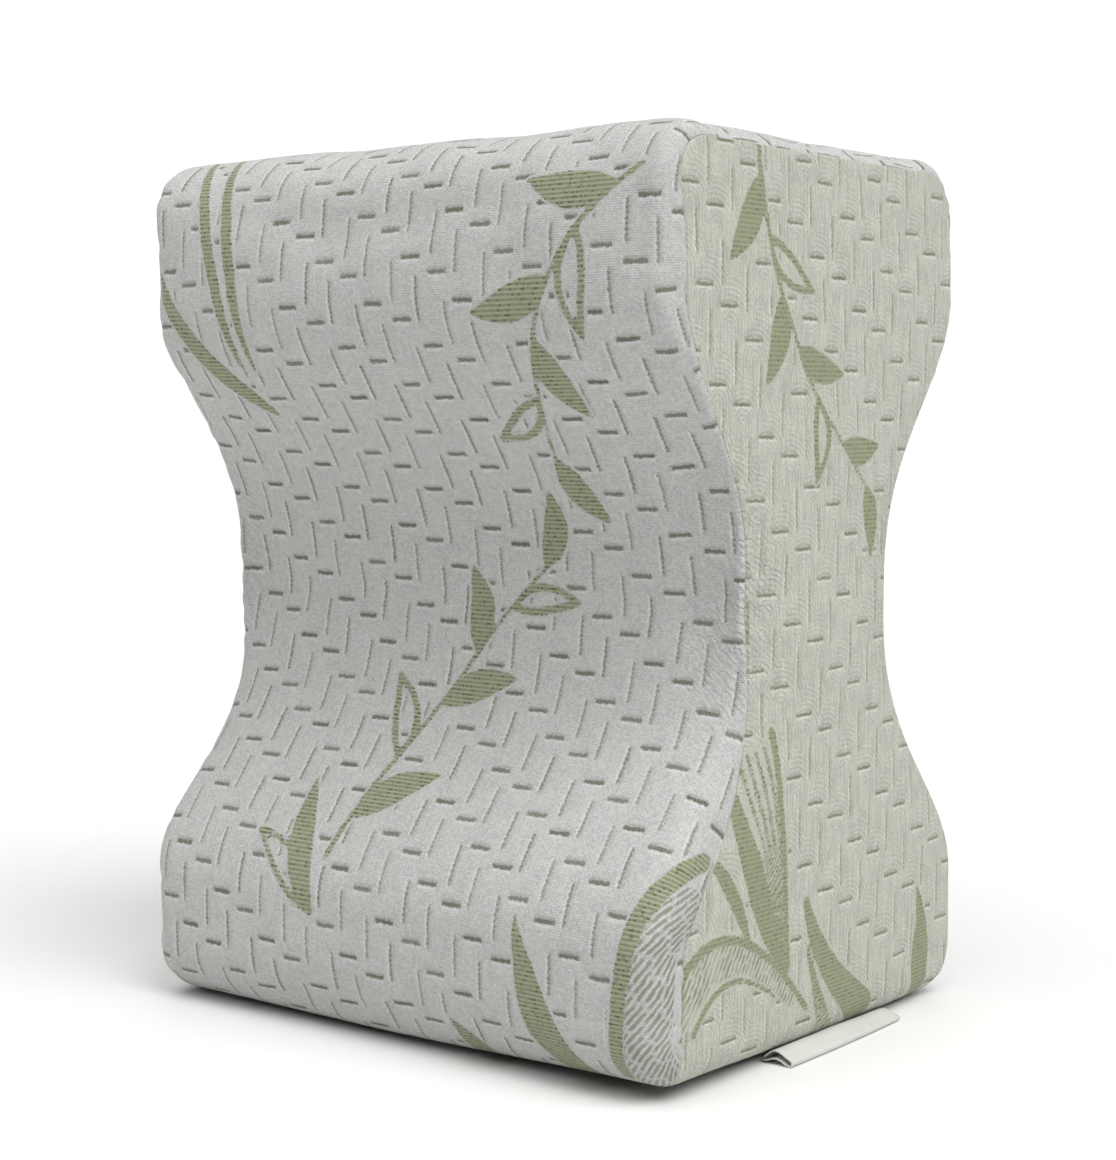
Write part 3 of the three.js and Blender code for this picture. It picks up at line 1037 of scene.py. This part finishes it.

# The marks' weakest strength, how far the painted shade (with the mark's green halo) and the
# painted highlight beside them reach, and how dark that shade is
MARK_LOOKS = {
    "bar": {"weakest": 0.8, "shade_reach": 1.3, "light_reach": 1.5, "shade": 0.36},
    "tick": {"weakest": 0.68, "shade_reach": 1.5, "light_reach": 1.2, "shade": 0.22},
}

# The slanted strokes of the hatched leaves: the ways across them and along them
STROKES = {"pitch": 1.7, "length": 8.0, "wobble": 1.1}
STROKE_ACROSS = (0.82, -0.57)
STROKE_DOWN = (0.57, 0.82)

SATIN_SHADE = srgb(208, 208, 202)
SATIN_LIGHT = srgb(222, 222, 217)


def offset_from_copy(paint, cloth, centre, steps):
    """Node form of from_nearest_copy. Gives the offset and the copy's own number."""
    (ax, ay), (bx, by) = steps
    area = ax * by - ay * bx
    moved = paint.vector("SUBTRACT", cloth, (*centre, 0.0))
    first = paint.vector("DOT_PRODUCT", moved, (by / area, -bx / area, 0.0))
    second = paint.vector("DOT_PRODUCT", moved, (-ay / area, ax / area, 0.0))
    first = paint.math("ROUND", first)
    second = paint.math("ROUND", second)
    for count, step in ((first, (ax, ay, 0.0)), (second, (bx, by, 0.0))):
        moved = paint.vector("SUBTRACT", moved, paint.scaled(step, count))
    copy = paint.total(paint.product(first, 7.31), paint.product(second, 3.17), centre[0])
    return moved, copy


def groove(paint, along, across, length, width, look):
    """A stitched groove: its core, the zone on one side of it where shade is painted and the one
    on the other where a highlight is painted. Both zones also shape the bump.
    """
    end, edge = length / 2, width / 2
    ends = paint.ease(paint.math("ABSOLUTE", along), end - 0.5, end + 0.5, 1.0, 0.0)
    core = paint.ease(paint.math("ABSOLUTE", across), edge - 0.35, edge + 0.3, 1.0, 0.0)
    shade = paint.product(
        paint.ease(across, -0.1, edge),
        paint.ease(across, edge, edge + look["shade_reach"], 1.0, 0.0),
    )
    light = paint.product(
        paint.ease(across, -edge - look["light_reach"], -edge - 0.4),
        paint.ease(across, -edge - 0.3, -edge + 0.1, 1.0, 0.0),
    )
    return [paint.product(ends, part) for part in (core, shade, light)]


def random_share(paint, seed, low, high):
    """A number from low to high for each seed."""
    node = paint.add("ShaderNodeTexWhiteNoise", {"W": seed}, noise_dimensions="1D")
    return paint.linear(node.outputs["Value"], high - low, low)


def stitch_marks(paint, cloth, wander, kind, repeat):
    """The core, painted shade and painted highlight of one kind of mark, and the offsets from its
    middles.
    """
    look = MARK_LOOKS[kind]
    found, offsets = [], []
    for centre in repeat[kind + "s"]:
        middle = tuple(np.add(repeat["origin"], centre))
        offset, copy = offset_from_copy(paint, cloth, middle, repeat["steps"])
        strength = random_share(paint, copy, look["weakest"], 1.0)
        x, y, _ = paint.parts(paint.vector("ADD", offset, wander))
        width, height = repeat[kind + "_size"]
        if kind == "bar":
            parts = groove(paint, x, y, width, height, look)
        else:
            parts = groove(paint, y, x, height, width, look)
        found.append([paint.product(part, strength) for part in parts])
        offsets.append(offset)
    return [paint.math("MAXIMUM", *both) for both in zip(*found)], offsets


def rib_arches(paint, bar_offsets):
    """A distance that the ribs follow: upright lines that arch over just below each bar."""
    nearest = None
    for offset in bar_offsets:
        x, y, _ = paint.parts(offset)
        over = paint.math("MAXIMUM", paint.math("ADD", y, ARCH_DROP), 0.0)
        squares = paint.total(paint.product(x, x), paint.product(over, over))
        reach = paint.math("SQRT", squares)
        nearest = reach if nearest is None else paint.math("MINIMUM", nearest, reach)
    return nearest


def slanted_strokes(paint, cloth, wobble, ragged):
    """Short slanted strokes in columns, each column with its own random start."""
    along = paint.vector("DOT_PRODUCT", cloth, (*STROKE_ACROSS, 0.0))
    along = paint.linear(wobble, STROKES["wobble"], along)
    column = paint.linear(along, 1 / STROKES["pitch"], 0.25)
    start = random_share(paint, paint.math("FLOOR", column), 0.0, STROKES["length"])
    down = paint.vector("DOT_PRODUCT", cloth, (*STROKE_DOWN, 0.0))
    down = paint.math("ADD", down, start)
    lines = paint.linear(ragged, 0.9, paint.wave(along, STROKES["pitch"]))
    breaks = paint.linear(ragged, 0.9, paint.wave(down, STROKES["length"]))
    return paint.product(paint.ease(lines, -0.9, 0.7), paint.ease(breaks, -1.2, -0.6))


def knit_material(name, repeat, colours):
    """The jacquard knit: fine courses, green stitch marks in steps, and green leaves."""
    material = bpy.data.materials.new(name)
    paint = Nodes(material)
    cloth = paint.stored("cloth", "Vector")
    u, v, _ = paint.parts(cloth)
    leaf = paint.stored("leaf")
    hatch = paint.stored("hatch")

    # Unevenness: slow, fine, and one value for each stitch
    wobble = paint.noise(cloth, NOISE["wobble"], 1.0)
    grain = paint.noise(cloth, NOISE["grain"], 2.0)
    ragged = paint.linear(grain, 1.1, -0.55)
    stitch = paint.vector("FLOOR", paint.vector("MULTIPLY", cloth, STITCHES))
    stitch = paint.add("ShaderNodeTexWhiteNoise", {"Vector": stitch}, noise_dimensions="2D")
    stitch = paint.math("SUBTRACT", stitch.outputs["Value"], 0.5)
    wander = {"Vector": cloth, "Scale": NOISE["wander"], "Detail": 1.0}
    wander = paint.add("ShaderNodeTexNoise", wander).outputs["Color"]
    wander = paint.vector("SUBTRACT", wander, (0.5, 0.5, 0.5))
    wander = paint.vector("MULTIPLY", wander, MARK_WANDER)
    patches = paint.ease(paint.noise(cloth, NOISE["patches"], 1.0), 0.42, 0.6)
    uneven = paint.total(ragged, paint.product(stitch, 0.5))

    # The leaves, and the cloth clear of them
    in_leaf = paint.ease(paint.math("ADD", leaf, uneven), -0.25, 0.25)
    in_hatch = paint.ease(paint.math("ADD", hatch, uneven), -0.3, 0.3)
    clear = paint.ease(paint.math("MAXIMUM", leaf, hatch), -1.4, -0.5, 1.0, 0.0)

    # Stitch marks, each with its own strength
    bars, bar_offsets = stitch_marks(paint, cloth, wander, "bar", repeat)
    ticks, _ = stitch_marks(paint, cloth, wander, "tick", repeat)
    bar, bar_shade, bar_light = [paint.product(part, clear) for part in bars]
    tick, tick_shade, tick_light = [paint.product(part, clear) for part in ticks]
    bar = paint.product(bar, paint.linear(paint.wave(u, 0.95), 0.07, 0.93))
    tick = paint.product(tick, paint.linear(paint.wave(v, 1.35), 0.2, 0.8))

    # The fine courses, the diagonal of the stitches, the upright ribs and the seam's ripples
    course = paint.wave(v, COURSE_PITCH)
    slant = paint.linear(u, 0.9, paint.product(v, 0.75))
    slant = paint.wave(slant, SLANT_PITCH)
    fine = paint.product(paint.total(course, slant), paint.linear(grain, 0.7, 0.1))
    fine = paint.product(paint.total(fine, stitch, ragged), repeat["courses"])
    upright = paint.vector("MULTIPLY", cloth, (1.0, 0.1, 1.0))
    upright = paint.noise(upright, NOISE["upright"], 2.0)
    upright = paint.linear(upright, 3.8, -1.9)
    ribs = paint.wave(rib_arches(paint, bar_offsets), RIB_PITCH)
    ribs = paint.product(ribs, paint.linear(grain, 1.4, -0.2))
    ribs = paint.product(paint.total(upright, ribs), clear)
    ripple = paint.total(paint.product(u, 0.8), v, paint.product(wobble, 5.0))
    ripple = paint.product(paint.wave(ripple, RIPPLE_PITCH), paint.stored("pull"))

    # Rows of darker stitches through the green, and strokes in the hatched leaves
    row_wave = paint.wave(v, ROW_PITCH)
    row = paint.total(row_wave, paint.product(stitch, 0.9))
    row = paint.product(paint.ease(row, -0.4, 0.4), colours["rows"])
    dots = paint.linear(row_wave, 0.12, stitch)
    dots = paint.product(paint.ease(dots, 0.34, 0.46), colours["rows"])
    strokes = slanted_strokes(paint, cloth, wobble, ragged)

    # Colour, from the ground up
    ground = paint.mix(paint.ease(fine, -1.1, 1.1), colours["shade"], colours["ground"])
    # Painted shade along the ribs' relief, in the darker shade colour
    rib_painted_shade = paint.product(paint.ease(ribs, -0.9, 0.9, 1.0, 0.0), repeat["ribs"])
    ground = paint.mix(rib_painted_shade, ground, colours["shade"])
    ground = paint.mix(paint.product(patches, 0.2), ground, colours["tint"])
    green = paint.mix(row, colours["pale"], colours["green"])
    green = paint.mix(dots, green, colours["dark"])
    streaks = paint.mix(patches, colours["green"], colours["grey"])
    streaks = paint.mix(paint.product(strokes, 0.8), ground, streaks)
    colour = paint.mix(in_hatch, ground, streaks)
    colour = paint.mix(in_leaf, colour, green)
    # Beside each mark, a painted highlight on one side, and on the other the mark's green halo
    # darkened by painted shade; then the marks themselves
    for share, over in (
        (paint.product(paint.total(bar_light, tick_light), 0.35), "light"),
        (paint.product(tick_shade, MARK_LOOKS["tick"]["shade"]), "tick"),
        (paint.product(bar_shade, MARK_LOOKS["bar"]["shade"]), "tick"),
        (tick, "tick"),
        (bar, "bar"),
    ):
        colour = paint.mix(share, colour, colours[over])

    heights = (
        (fine, 0.05),
        (paint.product(ribs, repeat["ribs"]), 0.16),
        (bar, -0.25),
        (bar_shade, -0.16),
        (bar_light, 0.12),
        (tick, -0.12),
        (tick_shade, -0.14),
        (tick_light, 0.08),
        (in_leaf, 0.1),
        (paint.product(row, in_leaf), -0.12),
        (paint.product(strokes, in_hatch), 0.12),
        (ripple, 0.14),
        (grain, 0.08),
    )
    height = paint.total(*(paint.product(part, rise) for part, rise in heights))
    paint.shade(colour, 0.92, paint.bump(height), sheen=0.12)
    return material


def satin_material():
    """Plain white satin with fine weft lines."""
    material = bpy.data.materials.new("label_satin")
    paint = Nodes(material)
    cloth = paint.stored("cloth", "Vector")
    u, v, _ = paint.parts(cloth)
    uneven = paint.noise(cloth, 0.25, 2.0)
    colour = paint.mix(uneven, SATIN_SHADE, SATIN_LIGHT)
    height = paint.total(
        paint.product(paint.wave(u, WEFT_PITCH), 0.02),
        paint.product(paint.wave(v, WARP_PITCH), 0.008),
        paint.product(uneven, 0.15),
    )
    paint.shade(colour, 0.42, paint.bump(height), sheen=0.1)
    return material


# The knit's colours on the band and on the panels. "light" is the painted highlight beside each
# mark; "shade" is the darker tone of the fine courses and the shade painted along the ribs; the
# "tick" colour also paints the shade beside each mark
BAND_COLOURS = {
    "ground": srgb(213, 213, 212),
    "shade": srgb(162, 162, 161),
    "tint": srgb(198, 200, 190),
    "light": srgb(232, 232, 230),
    "pale": srgb(158, 163, 136),
    "green": srgb(120, 126, 101),
    "dark": srgb(84, 89, 70),
    "grey": srgb(132, 136, 120),
    "bar": srgb(96, 101, 82),
    "tick": srgb(112, 117, 98),
    "rows": 0.7,
}
PANEL_COLOURS = {
    "ground": srgb(220, 221, 209),
    "shade": srgb(158, 159, 149),
    "tint": srgb(204, 206, 192),
    "light": srgb(238, 239, 230),
    "pale": srgb(150, 156, 127),
    "green": srgb(126, 132, 103),
    "dark": srgb(96, 102, 79),
    "grey": srgb(156, 160, 142),
    "bar": srgb(106, 113, 86),
    "tick": srgb(134, 141, 114),
    "rows": 0.55,
}


def dress(piece, material, node):
    """Gives a piece its material and its place in the frame."""
    piece.data.materials.append(material)
    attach(piece, "root")
    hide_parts(node)


make_camera()
make_stage()
make_lights()

band_knit = knit_material("band_knit", BAND_REPEAT, BAND_COLOURS)
panel_knit = knit_material("panel_knit", PANEL_REPEAT, PANEL_COLOURS)

band = make_band()
dress(band, band_knit, "filled_body")

for name, side in (("right", 1), ("left", -1)):
    panel = make_panel("panel_sheet_" + name, side)
    dress(panel, panel_knit, "side_panel_" + name)

label = make_label()
dress(label, satin_material(), "seam_label")
